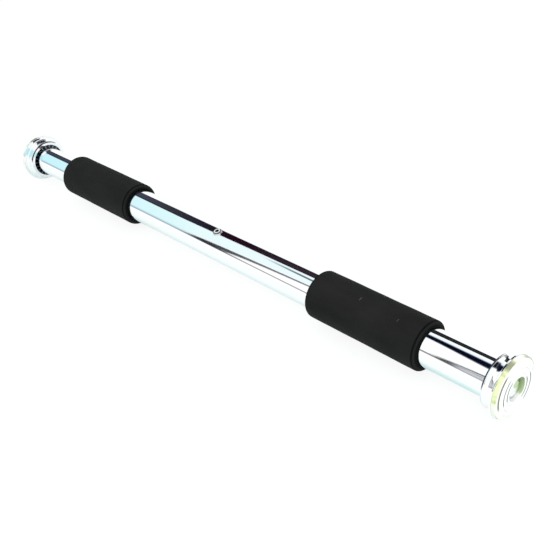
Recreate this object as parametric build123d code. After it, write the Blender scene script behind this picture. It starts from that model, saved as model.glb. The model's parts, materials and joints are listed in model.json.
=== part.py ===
from build123d import *
import math
import os
from dataclasses import dataclass

# Telescopic doorway pull-up bar, closed to its shortest length. Millimetres.
# The bar lies along X. The origin is the middle of the fixed end's pad face, where it meets the door
# jamb, +X runs along the bar to the sliding end, and +Z is the side of the lock screw.

# Bar and tubes
BAR_LENGTH = 628.0  # pad face to pad face, closed
THREAD_LEAD = 8.0  # how far the inner tube moves for one turn
TRAVEL_TURNS = 46
OUTER_TUBE_RADIUS = 16.0
OUTER_TUBE_WALL = 1.1
INNER_TUBE_WALL = 1.2
BARE_INNER_TUBE = 68.0  # inner tube that shows beside the sliding end, closed
NUT_REST_GAP = 44.0  # fixed end's plug to the travelling nut, closed

# Clearances
SLIDE_CLEARANCE = 0.10  # inner tube in outer tube, radial
RUN_CLEARANCE = 0.05  # turning and sliding fits, radial and axial
PRESS_CLEARANCE = 0.02  # pressed and glued pieces, radial
STOP_CLEARANCE = 0.3  # travelling nut to stop washer at full length

# Foam grips
GRIP_WALL = 5.0
GRIP_LENGTH = 113.0
FIXED_GRIP_START = 74.5  # from the fixed pad's face
GRIP_SHOULDER_ROUND = 2.6
GRIP_LIP_WIDTH = 2.0
GRIP_LIP_PROUD = 1.0
GRIP_LIP_ROUND = 0.7

# Pads
PAD_THICKNESS = 5.0
PAD_STEP = 1.6  # the rim lies this far behind the middle
PAD_RIM_WIDTH = 3.5
PAD_SLOPE_WIDTH = 2.3
PAD_TAPER = 0.6  # the rim's front edge is this much smaller than its back
PAD_EDGE_ROUND = 1.0
PAD_SLOPE_ROUND = 0.5
PAD_HOLE_ROUND = 0.4
PAD_SET_IN = 0.2  # pad edge inside the cup's flange edge
PAD_HOLE_CLEARANCE = 1.0  # round the head washer
PAD_GROOVE_INSET = 0.8  # outermost groove from the middle's edge
PAD_GROOVE_PITCH = 3.0
PAD_GROOVE_WIDTH = 1.0
PAD_GROOVE_DEPTH = 0.8
PAD_GROOVE_COUNT = 3

# Cups
CUP_MOUTH_GAP = 3.3  # outer tube to cup bore
CUP_WALL = 1.2
CUP_LENGTH = 11.8
CUP_PLATE = 2.0
CUP_WAIST_PROUD = 0.25  # waist beyond the bore's wall
CUP_WAIST_BACK = 5.2  # mouth to the middle of the waist
CUP_WAIST_ROUND = 20.0
CUP_BEAD_PROUD = 0.34  # bead beyond the waist
CUP_BEAD_BACK = 2.8  # mouth to the crest of the bead
CUP_BEAD_ROUND = 5.0
CUP_BEAD_DROP = 0.6  # how much the bead falls towards the mouth
CUP_MOUTH_ROUND = 0.35
CUP_LIP_ROUND = 0.7
CUP_CURL_GAP = 1.4  # outer tube to the edge of the curled mouth
CUP_CURL = 1.4
CUP_FLARE = 4.7  # flange edge beyond the neck
CUP_FLARE_ROUND = 2.2
CUP_FLANGE = 1.6
CUP_FLANGE_ROUND = 0.3

# Centring bushes in the cups
BUSH_LENGTH = 7.0
BUSH_RING_WALL = 1.2
BUSH_WEB = 1.5
BUSH_RIB_WIDTH = 1.8
BUSH_RIB_COUNT = 20

# Pivot rivets and their washers
RIVET_HEAD_RADIUS = 7.0
RIVET_HEAD_HEIGHT = 1.6
RIVET_HEAD_ROUND = 1.4
RIVET_SHOULDER_RADIUS = 5.0
RIVET_SHANK_RADIUS = 4.0
RIVET_SHANK_LENGTH = 15.0
HEAD_WASHER_RADIUS = 8.4
HEAD_WASHER = 1.0
THRUST_WASHER_RADIUS = 12.0
THRUST_WASHER = 1.0

# Tube plugs and their pins
PLUG_FLANGE = 2.0
PLUG_WEB = 3.0  # solid between the rivet's hole and the lead screw's
SLIDING_PLUG_LENGTH = 20.0
PLUG_PIN_RADIUS = 1.5
PLUG_PIN_LENGTH = 6.0
PLUG_PIN_INSET = 3.5  # from the tube's end

# Lead screw, its cross pin and its stop
LEAD_SCREW_RADIUS = 7.0
LEAD_SHANK_RADIUS = 5.0
LEAD_SHANK_LENGTH = 14.0
LEAD_PIN_RADIUS = 2.0
LEAD_STUB_LENGTH = 13.0
STOP_WASHER_CLEARANCE = 1.6  # inside the inner tube
STOP_WASHER = 2.0
STOP_NUT_FLATS = 17.0
STOP_NUT = 8.0

# Travelling nut, its pins, the slide bush and its retainer
NUT_LENGTH = 28.0
NUT_FLANGE = 2.5
NUT_NECK_RADIUS = 11.0
NUT_NECK_LENGTH = 13.0
NUT_PIN_RADIUS = 1.5
NUT_PIN_LENGTH = 4.5
NUT_PIN_COUNT = 3
SLIDE_BUSH_LENGTH = 10.0
GREASE_GROOVE = 1.0
GREASE_GROOVE_DEPTH = 0.6
RETAINER_GROOVE_DEPTH = 0.8
RETAINER_WIDTH = 1.2
RETAINER_PROUD = 1.8
RETAINER_GAP_ANGLE = 40.0

# Lock screw near the middle of the closed bar
LOCK_OFFSET = 2.8  # from the middle, towards the fixed end
BOSS_RADIUS = 4.3
BOSS_HEIGHT = 0.5  # above the top of the outer tube
BOSS_SPIGOT_RADIUS = 3.3
LOCK_SCREW_RADIUS = 2.5
LOCK_HEAD_RADIUS = 3.3
LOCK_HEAD_HEIGHT = 0.7
LOCK_SOCKET = 3.0
LOCK_SOCKET_DEPTH = 1.0
LOCK_WASHER_RADIUS = 3.9
LOCK_WASHER = 0.4

# Small edges
TIP_CHAMFER = 0.5  # screw tips
DOME = 0.7  # rounding of a screw's head, as a share of the head's height
TURNED_ROUND = 0.8  # ends of turned pieces
FLANGE_ROUND = 0.5  # rims of flanges and nuts
CORNER_ROOM = 0.98  # share of an edge that the roundings at its two ends may take


@dataclass(frozen=True)
class Tube:
    """A round tube by its outer radius and wall."""

    radius: float
    wall: float

    @property
    def bore(self):
        return self.radius - self.wall


OUTER = Tube(OUTER_TUBE_RADIUS, OUTER_TUBE_WALL)
INNER = Tube(OUTER.bore - SLIDE_CLEARANCE, INNER_TUBE_WALL)

# Stations along X in one end, counted from its pad's face
PLATE_FRONT = PAD_THICKNESS
PLATE_BACK = PLATE_FRONT + CUP_PLATE
PLUG_FRONT = PLATE_BACK + RUN_CLEARANCE + THRUST_WASHER
TUBE_END = PLUG_FRONT + PLUG_FLANGE
CUP_MOUTH = PLATE_FRONT + CUP_LENGTH

# Radii of the cups and pads
CUP_BORE = OUTER.radius + CUP_MOUTH_GAP
CUP_NECK = CUP_BORE + CUP_WALL
CUP_CURL_EDGE = OUTER.radius + CUP_CURL_GAP
CUP_EDGE = CUP_NECK + CUP_FLARE
PAD_RADIUS = CUP_EDGE - PAD_SET_IN
PAD_HOLE = HEAD_WASHER_RADIUS + PAD_HOLE_CLEARANCE

# Stations along the bar
OUTER_MOUTH = BAR_LENGTH - TUBE_END - BARE_INNER_TUBE
RIVET_TIP = PLUG_FRONT + RIVET_SHANK_LENGTH
SHANK_START = RIVET_TIP + PLUG_WEB
FIXED_PLUG_BACK = SHANK_START + LEAD_SHANK_LENGTH
NECK_END = FIXED_PLUG_BACK + NUT_REST_GAP
NUT_FRONT = NECK_END + NUT_NECK_LENGTH
INNER_END = NUT_FRONT + NUT_FLANGE
NUT_BACK = INNER_END + NUT_LENGTH
LOCK_X = BAR_LENGTH / 2 - LOCK_OFFSET
TRAVEL = THREAD_LEAD * TRAVEL_TURNS
STOP_FACE = NUT_BACK + TRAVEL + STOP_CLEARANCE


def eased(corners):
    """Give every corner a rounding, limited to what the two edges that meet there have room for."""
    points = [Vector(*corner[:2]) for corner in corners]
    roundings = [corner[2] if len(corner) == 3 else 0.0 for corner in corners]
    count = len(points)
    reaches = []
    for n in range(count):
        back = points[n - 1] - points[n]
        ahead = points[(n + 1) % count] - points[n]
        reaches.append(roundings[n] / math.tan(math.radians(back.get_angle(ahead)) / 2))
    for n in range(count):
        following = (n + 1) % count
        room = CORNER_ROOM * (points[following] - points[n]).length
        wanted = reaches[n] + reaches[following]
        if wanted > room:
            roundings[n] *= room / wanted
            roundings[following] *= room / wanted
    return list(zip(points, roundings))


def turned(*corners):
    """Turn a closed outline about the bar's axis. A corner is (x, radius) or (x, radius, rounding)."""
    outline = make_face(Polyline(*[corner[:2] for corner in corners], close=True))
    for point, rounding in eased(corners):
        if rounding > 0:
            outline = fillet(outline.vertices().sort_by_distance(point)[0], rounding)
    return revolve(outline, Axis.X)


def ring(start, end, bore, radius):
    """A plain ring on the bar's axis."""
    return turned((start, bore), (end, bore), (end, radius), (start, radius))


def rod(start, end, radius):
    """A solid round on the bar's axis."""
    return turned((start, 0), (end, 0), (end, radius), (start, radius))


def radial_rods(x, radius, inner, outer, count, first=0.0):
    """Rods that point away from the bar's axis at station x, spaced evenly round it from the angle first."""
    one = Pos(x, (inner + outer) / 2, 0) * Rot(90, 0, 0) * Cylinder(radius, outer - inner)
    return [Rot(first + 360.0 * n / count, 0, 0) * one for n in range(count)]


def flush_pins(x, radius, length, surface, count, first=0.0):
    """Pins driven into a round piece, cut off flush with its surface."""
    rods = radial_rods(x, radius, surface - length, surface + radius, count, first)
    skin = rod(x - 2 * radius, x + 2 * radius, surface - PRESS_CLEARANCE)
    return [one & skin for one in rods]


def socket_screw(head_radius, head_height, socket, socket_depth, steps):
    """A button-head screw along +X from the top of its head; steps are (length, radius) below the head."""
    corners = [(0, 0), (0, head_radius, DOME * head_height), (head_height, head_radius)]
    x = head_height
    for length, radius in steps:
        corners += [(x, radius), (x + length, radius)]
        x += length
    tip_radius = steps[-1][1]
    corners[-1:] = [(x - TIP_CHAMFER, tip_radius), (x, tip_radius - TIP_CHAMFER), (x, 0)]
    key = RegularPolygon(socket / 2, 6, major_radius=False)
    return turned(*corners) - extrude(Plane.YZ * key, socket_depth)


def at_sliding_end(piece):
    """Turn a piece of an end round to the sliding end of the bar."""
    return Pos(BAR_LENGTH, 0, 0) * Rot(0, 0, 180) * piece


def pad():
    """Clear soft pad: raised ridged middle round a through hole, slope, and a lower rim."""
    rim = PAD_RADIUS - PAD_RIM_WIDTH
    ridges = rim - PAD_SLOPE_WIDTH
    corners = [
        (PAD_THICKNESS, PAD_HOLE),
        (PAD_THICKNESS, PAD_RADIUS),
        (PAD_STEP, PAD_RADIUS - PAD_TAPER, PAD_EDGE_ROUND),
        (PAD_STEP, rim, PAD_SLOPE_ROUND),
        (0, ridges),
    ]
    for n in range(PAD_GROOVE_COUNT):
        middle = ridges - PAD_GROOVE_INSET - n * PAD_GROOVE_PITCH
        corners.append((0, middle + PAD_GROOVE_WIDTH / 2))
        corners.append((PAD_GROOVE_DEPTH, middle))
        corners.append((0, middle - PAD_GROOVE_WIDTH / 2))
    corners.append((0, PAD_HOLE, PAD_HOLE_ROUND))
    return turned(*corners)


def cup():
    """Chromed cup: bored plate, flange, waisted neck, and a beaded mouth curled in behind the bush."""
    flange_back = PLATE_FRONT + CUP_FLANGE
    waist = CUP_NECK + CUP_WAIST_PROUD
    bead = waist + CUP_BEAD_PROUD
    return turned(
        (PLATE_FRONT, RIVET_SHOULDER_RADIUS + RUN_CLEARANCE),
        (PLATE_BACK, RIVET_SHOULDER_RADIUS + RUN_CLEARANCE),
        (PLATE_BACK, CUP_BORE),
        (CUP_MOUTH - CUP_CURL, CUP_BORE),
        (CUP_MOUTH - CUP_CURL, CUP_CURL_EDGE, CUP_LIP_ROUND),
        (CUP_MOUTH, CUP_CURL_EDGE, CUP_LIP_ROUND),
        (CUP_MOUTH, bead - CUP_BEAD_DROP, CUP_MOUTH_ROUND),
        (CUP_MOUTH - CUP_BEAD_BACK, bead, CUP_BEAD_ROUND),
        (CUP_MOUTH - CUP_WAIST_BACK, waist, CUP_WAIST_ROUND),
        (flange_back, waist, CUP_FLARE_ROUND),
        (flange_back, CUP_EDGE, CUP_FLANGE_ROUND),
        (PLATE_FRONT, CUP_EDGE, CUP_FLANGE_ROUND),
    )


def centring_bush(tube):
    """Ring pressed in the cup's bore, with ribs that reach the tube and leave dark gaps between them."""
    start = PLATE_BACK + PRESS_CLEARANCE
    end = start + BUSH_LENGTH
    outer = CUP_BORE - PRESS_CLEARANCE
    inner = tube.radius + RUN_CLEARANCE
    body = ring(start, end, outer - BUSH_RING_WALL, outer) + ring(start, start + BUSH_WEB, inner, outer)
    rib = Pos((start + end) / 2, 0, (inner + outer) / 2) * Box(BUSH_LENGTH, BUSH_RIB_WIDTH, outer - inner)
    ribs = [Rot(360.0 * n / BUSH_RIB_COUNT, 0, 0) * rib for n in range(BUSH_RIB_COUNT)]
    return (body + ribs) & ring(start, end, inner, outer)


def pivot_rivet():
    """Shoulder rivet with a low round head: the cup turns on its shoulder, and its shank is in the plug."""
    head_back = PLATE_FRONT - RUN_CLEARANCE - HEAD_WASHER
    head_front = head_back - RIVET_HEAD_HEIGHT
    return turned(
        (head_front, 0),
        (head_front, RIVET_HEAD_RADIUS, RIVET_HEAD_ROUND),
        (head_back, RIVET_HEAD_RADIUS),
        (head_back, RIVET_SHOULDER_RADIUS),
        (PLUG_FRONT, RIVET_SHOULDER_RADIUS),
        (PLUG_FRONT, RIVET_SHANK_RADIUS),
        (RIVET_TIP - TIP_CHAMFER, RIVET_SHANK_RADIUS),
        (RIVET_TIP, RIVET_SHANK_RADIUS - TIP_CHAMFER),
        (RIVET_TIP, 0),
    )


def head_washer():
    """Washer between the rivet's head and the cup's plate."""
    end = PLATE_FRONT - RUN_CLEARANCE
    return ring(end - HEAD_WASHER, end, RIVET_SHOULDER_RADIUS + PRESS_CLEARANCE, HEAD_WASHER_RADIUS)


def thrust_washer():
    """Washer between the cup's plate and the plug."""
    start = PLATE_BACK + RUN_CLEARANCE
    return ring(start, PLUG_FRONT, RIVET_SHOULDER_RADIUS + PRESS_CLEARANCE, THRUST_WASHER_RADIUS)


def plug_blank(tube, back):
    """Flanged plug that closes a tube, with the pivot rivet's hole and the pins' holes."""
    blank = turned(
        (PLUG_FRONT, 0),
        (PLUG_FRONT, tube.radius, FLANGE_ROUND),
        (TUBE_END, tube.radius),
        (TUBE_END, tube.bore - PRESS_CLEARANCE),
        (back, tube.bore - PRESS_CLEARANCE, TURNED_ROUND),
        (back, 0),
    )
    hole = rod(PLUG_FRONT, RIVET_TIP, RIVET_SHANK_RADIUS + PRESS_CLEARANCE)
    return blank - hole - plug_pin_holes(tube)


def plug_pin_holes(tube):
    """Drillings for the plug's two pins, through the tube's wall."""
    radius = PLUG_PIN_RADIUS + PRESS_CLEARANCE
    depth = PLUG_PIN_LENGTH + PRESS_CLEARANCE
    x = TUBE_END + PLUG_PIN_INSET
    return radial_rods(x, radius, tube.radius - depth, tube.radius + 1, 2)


def plug_pins(tube):
    """Two pins across the tube's wall into its plug."""
    return flush_pins(TUBE_END + PLUG_PIN_INSET, PLUG_PIN_RADIUS, PLUG_PIN_LENGTH, tube.radius, 2)


def fixed_end_plug():
    """Plug of the outer tube, which also holds the lead screw's shank and its cross pin."""
    shank = rod(SHANK_START, FIXED_PLUG_BACK + 1, LEAD_SHANK_RADIUS + PRESS_CLEARANCE)
    return plug_blank(OUTER, FIXED_PLUG_BACK) - shank - lead_pin_hole()


def lead_pin_x():
    """Station of the cross pin, half way along the lead screw's shank."""
    return SHANK_START + LEAD_SHANK_LENGTH / 2


def lead_pin_hole():
    """Drilling right across the plug for the cross pin."""
    return Pos(lead_pin_x(), 0, 0) * Cylinder(LEAD_PIN_RADIUS + PRESS_CLEARANCE, 2 * OUTER.radius)


def lead_screw_pin():
    """Cross pin through the plug and the lead screw's shank, inside the tube."""
    across = Pos(lead_pin_x(), 0, 0) * Cylinder(LEAD_PIN_RADIUS, 2 * OUTER.radius)
    inside = OUTER.bore - 2 * PRESS_CLEARANCE
    return across & rod(SHANK_START, FIXED_PLUG_BACK, inside)


def lead_screw():
    """Screw down the middle of both tubes: shank in the plug, threaded length, and a stub for the stop."""
    screw = turned(
        (SHANK_START, 0),
        (SHANK_START, LEAD_SHANK_RADIUS, TURNED_ROUND),
        (FIXED_PLUG_BACK, LEAD_SHANK_RADIUS),
        (FIXED_PLUG_BACK, LEAD_SCREW_RADIUS, TURNED_ROUND),
        (STOP_FACE, LEAD_SCREW_RADIUS, TURNED_ROUND),
        (STOP_FACE, LEAD_SHANK_RADIUS),
        (STOP_FACE + LEAD_STUB_LENGTH, LEAD_SHANK_RADIUS, TURNED_ROUND),
        (STOP_FACE + LEAD_STUB_LENGTH, 0),
    )
    return screw - lead_pin_hole()


def stop_washer():
    """Washer that the travelling nut meets at full length."""
    bore = LEAD_SHANK_RADIUS + PRESS_CLEARANCE
    return ring(STOP_FACE, STOP_FACE + STOP_WASHER, bore, INNER.bore - STOP_WASHER_CLEARANCE)


def stop_nut():
    """Hexagon nut on the lead screw's stub, chamfered where its corners meet the washer and the end."""
    start = STOP_FACE + STOP_WASHER
    end = start + STOP_NUT
    hexagon = extrude(Plane.YZ * RegularPolygon(STOP_NUT_FLATS / 2, 6, major_radius=False), STOP_NUT)
    corner = STOP_NUT_FLATS / 3**0.5
    barrel = turned((start, 0), (start, corner, FLANGE_ROUND), (end, corner, FLANGE_ROUND), (end, 0))
    return (Pos(start, 0, 0) * hexagon & barrel) - rod(start, end, LEAD_SHANK_RADIUS + PRESS_CLEARANCE)


def outer_tube():
    """Outer tube with its pin holes and the hole for the lock screw's boss."""
    tube = ring(TUBE_END, OUTER_MOUTH, OUTER.bore, OUTER.radius)
    boss_hole = Pos(LOCK_X, 0, OUTER.radius) * Cylinder(BOSS_SPIGOT_RADIUS + PRESS_CLEARANCE, OUTER.radius)
    return tube - plug_pin_holes(OUTER) - boss_hole


def inner_tube():
    """Inner tube with the holes for its plug's pins and the travelling nut's."""
    tube = ring(INNER_END, BAR_LENGTH - TUBE_END, INNER.bore, INNER.radius)
    plug_holes = [at_sliding_end(hole) for hole in plug_pin_holes(INNER)]
    return tube - plug_holes - nut_pin_holes()


def nut_pin_x():
    """Station of the travelling nut's pins, half way along the nut."""
    return INNER_END + NUT_LENGTH / 2


def nut_pin_holes():
    """Drillings for the travelling nut's pins, through the inner tube's wall."""
    depth = NUT_PIN_LENGTH + PRESS_CLEARANCE
    radius = NUT_PIN_RADIUS + PRESS_CLEARANCE
    return radial_rods(nut_pin_x(), radius, INNER.radius - depth, INNER.radius + 1, NUT_PIN_COUNT)


def nut_pins():
    """Pins across the inner tube's wall into the travelling nut."""
    return flush_pins(nut_pin_x(), NUT_PIN_RADIUS, NUT_PIN_LENGTH, INNER.radius, NUT_PIN_COUNT)


def retainer_x():
    """Near edge of the retainer's groove on the travelling nut's neck."""
    return NUT_FRONT - SLIDE_BUSH_LENGTH - 2 * RUN_CLEARANCE - RETAINER_WIDTH


def travelling_nut():
    """Nut pressed in the inner tube: a flange on the tube's end, and a grooved neck for the slide bush."""
    bore = LEAD_SCREW_RADIUS + RUN_CLEARANCE
    body = turned(
        (NECK_END, bore),
        (NECK_END, NUT_NECK_RADIUS, FLANGE_ROUND),
        (NUT_FRONT, NUT_NECK_RADIUS),
        (NUT_FRONT, INNER.radius, FLANGE_ROUND),
        (INNER_END, INNER.radius),
        (INNER_END, INNER.bore - PRESS_CLEARANCE),
        (NUT_BACK, INNER.bore - PRESS_CLEARANCE, TURNED_ROUND),
        (NUT_BACK, bore),
    )
    groove_floor = NUT_NECK_RADIUS - RETAINER_GROOVE_DEPTH
    groove = ring(retainer_x(), retainer_x() + RETAINER_WIDTH, groove_floor, NUT_NECK_RADIUS + 1)
    return body - groove - nut_pin_holes()


def bush_retainer():
    """Open ring in the neck's groove that keeps the slide bush on the nut."""
    floor = NUT_NECK_RADIUS - RETAINER_GROOVE_DEPTH + PRESS_CLEARANCE
    reach = NUT_NECK_RADIUS + RETAINER_PROUD
    whole = ring(retainer_x(), retainer_x() + RETAINER_WIDTH, floor, reach)
    gap = 2 * reach * math.sin(math.radians(RETAINER_GAP_ANGLE / 2))
    return whole - Pos(retainer_x(), 0, reach) * Box(4 * RETAINER_WIDTH, gap, 2 * reach)


def slide_bush():
    """Plastic ring that carries the inner tube's end in the outer tube, with two grease grooves."""
    end = NUT_FRONT - RUN_CLEARANCE
    start = end - SLIDE_BUSH_LENGTH
    radius = OUTER.bore - RUN_CLEARANCE
    bush = ring(start, end, NUT_NECK_RADIUS + RUN_CLEARANCE, radius)
    for share in (1 / 3, 2 / 3):
        groove = start + share * SLIDE_BUSH_LENGTH - GREASE_GROOVE / 2
        bush -= ring(groove, groove + GREASE_GROOVE, radius - GREASE_GROOVE_DEPTH, radius + 1)
    return bush


def foam_grip(start):
    """Foam sleeve on the outer tube, rounded at both ends, with a narrow lip round the tube at each."""
    bore = OUTER.radius + PRESS_CLEARANCE
    radius = OUTER.radius + GRIP_WALL
    lip = bore + GRIP_LIP_WIDTH
    end = start + GRIP_LENGTH
    step = GRIP_LIP_PROUD
    return turned(
        (start, bore, GRIP_LIP_ROUND),
        (start, lip, GRIP_LIP_ROUND),
        (start + step, lip),
        (start + step, radius, GRIP_SHOULDER_ROUND),
        (end - step, radius, GRIP_SHOULDER_ROUND),
        (end - step, lip),
        (end, lip, GRIP_LIP_ROUND),
        (end, bore, GRIP_LIP_ROUND),
    )


def lock_screw_boss():
    """Threaded saddle on the outer tube, with a spigot through the tube's wall."""
    top = OUTER.radius + BOSS_HEIGHT
    saddle = Pos(LOCK_X, 0, top - OUTER.radius / 2) * Cylinder(BOSS_RADIUS, OUTER.radius)
    saddle -= rod(LOCK_X - OUTER.radius, LOCK_X + OUTER.radius, OUTER.radius)
    spigot = Pos(LOCK_X, 0, OUTER.radius / 2) * Cylinder(BOSS_SPIGOT_RADIUS, OUTER.radius)
    spigot -= rod(LOCK_X - OUTER.radius, LOCK_X + OUTER.radius, OUTER.bore)
    thread = Pos(LOCK_X, 0, OUTER.radius) * Cylinder(LOCK_SCREW_RADIUS + RUN_CLEARANCE, OUTER.radius)
    return saddle + spigot - thread


def lock_washer_base():
    """Height of the lock screw's washer above the bar's axis."""
    return OUTER.radius + BOSS_HEIGHT + RUN_CLEARANCE


def lock_screw_washer():
    """Washer under the lock screw's head, which lifts with the screw."""
    washer = Cylinder(LOCK_WASHER_RADIUS, LOCK_WASHER)
    washer -= Cylinder(LOCK_SCREW_RADIUS + RUN_CLEARANCE, LOCK_WASHER)
    return Pos(LOCK_X, 0, lock_washer_base() + LOCK_WASHER / 2) * washer


def lock_screw():
    """Lock screw: its tip comes level with the outer tube's bore and bears on the inner tube."""
    under_head = lock_washer_base() + LOCK_WASHER + RUN_CLEARANCE
    shank = under_head - OUTER.bore
    screw = socket_screw(
        LOCK_HEAD_RADIUS, LOCK_HEAD_HEIGHT, LOCK_SOCKET, LOCK_SOCKET_DEPTH, [(shank, LOCK_SCREW_RADIUS)]
    )
    return Pos(LOCK_X, 0, under_head + LOCK_HEAD_HEIGHT) * Rot(0, 90, 0) * screw


def end_pieces(name, tube, place):
    """Pieces that both ends have, moved to their end by place."""
    pieces = {
        "pad": pad(),
        "cup": cup(),
        "centring_bush": centring_bush(tube),
        "pivot_rivet": pivot_rivet(),
        "head_washer": head_washer(),
        "thrust_washer": thrust_washer(),
        "plug_pins": Compound(plug_pins(tube)),
    }
    return {f"{name}_{piece}": place(solid) for piece, solid in pieces.items()}


def bar():
    """Every node of the bar by its name."""
    return {
        **end_pieces("fixed_end", OUTER, lambda piece: piece),
        **end_pieces("sliding_end", INNER, at_sliding_end),
        "fixed_end_plug": fixed_end_plug(),
        "sliding_end_plug": at_sliding_end(plug_blank(INNER, TUBE_END + SLIDING_PLUG_LENGTH)),
        "outer_tube": outer_tube(),
        "inner_tube": inner_tube(),
        "fixed_end_grip": foam_grip(FIXED_GRIP_START),
        "sliding_end_grip": foam_grip(OUTER_MOUTH - GRIP_LENGTH),
        "lead_screw": lead_screw(),
        "lead_screw_pin": lead_screw_pin(),
        "stop_washer": stop_washer(),
        "stop_nut": stop_nut(),
        "travelling_nut": travelling_nut(),
        "nut_pins": Compound(nut_pins()),
        "slide_bush": slide_bush(),
        "bush_retainer": bush_retainer(),
        "lock_screw_boss": lock_screw_boss(),
        "lock_screw_washer": lock_screw_washer(),
        "lock_screw": lock_screw(),
    }


os.makedirs("parts", exist_ok=True)
for node, solid in bar().items():
    export_step(solid, f"parts/{node}.step")
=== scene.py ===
"""Looks of a telescopic doorway pull-up bar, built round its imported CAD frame.

The bar lies along X from the fixed end at the origin to the sliding end. Everything is in metres.
"""

from __future__ import annotations

import json
import logging
import math
from dataclasses import dataclass
from enum import Enum
from typing import ClassVar, Union

import bmesh
import bpy
import numpy as np
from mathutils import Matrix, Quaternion, Vector


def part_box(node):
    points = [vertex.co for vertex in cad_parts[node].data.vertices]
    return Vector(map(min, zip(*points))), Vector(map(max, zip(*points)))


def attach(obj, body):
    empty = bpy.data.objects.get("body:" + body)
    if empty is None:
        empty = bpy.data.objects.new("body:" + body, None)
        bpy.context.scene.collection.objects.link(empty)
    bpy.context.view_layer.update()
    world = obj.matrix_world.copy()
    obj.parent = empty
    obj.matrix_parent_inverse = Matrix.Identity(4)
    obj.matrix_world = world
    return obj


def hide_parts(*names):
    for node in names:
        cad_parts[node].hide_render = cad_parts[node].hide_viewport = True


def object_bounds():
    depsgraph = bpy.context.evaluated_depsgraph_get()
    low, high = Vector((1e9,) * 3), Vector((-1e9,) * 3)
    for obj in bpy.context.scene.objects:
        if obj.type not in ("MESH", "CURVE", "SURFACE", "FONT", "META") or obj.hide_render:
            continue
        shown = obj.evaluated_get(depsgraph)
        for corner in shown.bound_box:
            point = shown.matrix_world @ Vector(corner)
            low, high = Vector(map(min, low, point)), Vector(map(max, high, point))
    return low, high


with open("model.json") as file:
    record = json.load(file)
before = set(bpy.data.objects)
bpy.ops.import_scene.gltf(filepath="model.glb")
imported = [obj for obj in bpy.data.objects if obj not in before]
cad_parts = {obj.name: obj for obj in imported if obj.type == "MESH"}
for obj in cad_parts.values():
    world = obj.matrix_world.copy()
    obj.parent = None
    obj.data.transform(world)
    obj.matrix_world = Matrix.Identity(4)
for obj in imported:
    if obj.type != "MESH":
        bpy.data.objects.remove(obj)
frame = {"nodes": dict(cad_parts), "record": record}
CAD_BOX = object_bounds()

LOG = logging.getLogger("pull_up_bar")
MM = 0.001
MERGED = 1e-7  # metres
TABLE_TOP = 200.0
WHITE = (1.0, 1.0, 1.0)

Colour = tuple[float, float, float]
Number = Union[float, "Value"]
Table = tuple[tuple[float, float], ...]
Shades = tuple[tuple[float, Colour], ...]
Inputs = dict[str, object]
Triple = tuple[float, float, float]


def shown(*levels: float) -> Colour:
    """Return the linear colour that a display shows as these three 0 to 255 levels.

    A level over 255 is c, and its light is ((c + 0.055) / 1.055) to the power 2.4, or c / 12.92 near black.
    """
    level = np.array(levels) / 255.0
    light = np.where(level > 0.04045, ((level + 0.055) / 1.055) ** 2.4, level / 12.92)
    return tuple(float(part) for part in light)


def dimmed(colour: Colour, share: float) -> Colour:
    """Return a share of a colour's light."""
    return tuple(share * part for part in colour)


def ramp(*stops: tuple[float, int, int, int]) -> Shades:
    """Return shades from stops that each give a place and three levels."""
    return tuple((place, shown(*level)) for place, *level in stops)


# --- Shader maths ---


@dataclass(frozen=True)
class Value:
    """A shader socket with Python's operators. Each operator adds the Math node that it stands for."""

    graph: Graph
    socket: bpy.types.NodeSocket | None

    def math(self, operation: str, *others: Number, clamp: bool = False) -> Value:
        """Add a Math node whose first operand is this value.

        Args:
            operation: Blender's name of the operation.
            others: The other operands.
            clamp: Whether the result is held between 0 and 1.

        Returns:
            The node's result.
        """
        operands = dict(enumerate((self, *others)))
        return self.graph.node("Math", operands, operation=operation, use_clamp=clamp)

    def __add__(self, other: Number) -> Value:
        """Return this value plus another."""
        return self.math("ADD", other)

    __radd__ = __add__

    def __sub__(self, other: Number) -> Value:
        """Return this value less another."""
        return self.math("SUBTRACT", other)

    def __rsub__(self, other: Number) -> Value:
        """Return another value less this one."""
        return self.math("MULTIPLY_ADD", -1.0, other)

    def __mul__(self, other: Number) -> Value:
        """Return this value times another."""
        return self.math("MULTIPLY", other)

    __rmul__ = __mul__

    def __truediv__(self, other: Number) -> Value:
        """Return this value divided by another."""
        return self.math("DIVIDE", other)

    def above(self, edge: Number, softness: float) -> Value:
        """Return 0 well below an edge and 1 well above it, with a straight ramp as wide as softness."""
        return ((self - edge) / softness).math("ADD", 0.5, clamp=True)

    def between(self, low: Number, high: Number, softness: float) -> Value:
        """Return 1 between two edges and 0 outside them, with ramps as wide as softness."""
        return self.above(low, softness) * (1 - self.above(high, softness))


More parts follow.
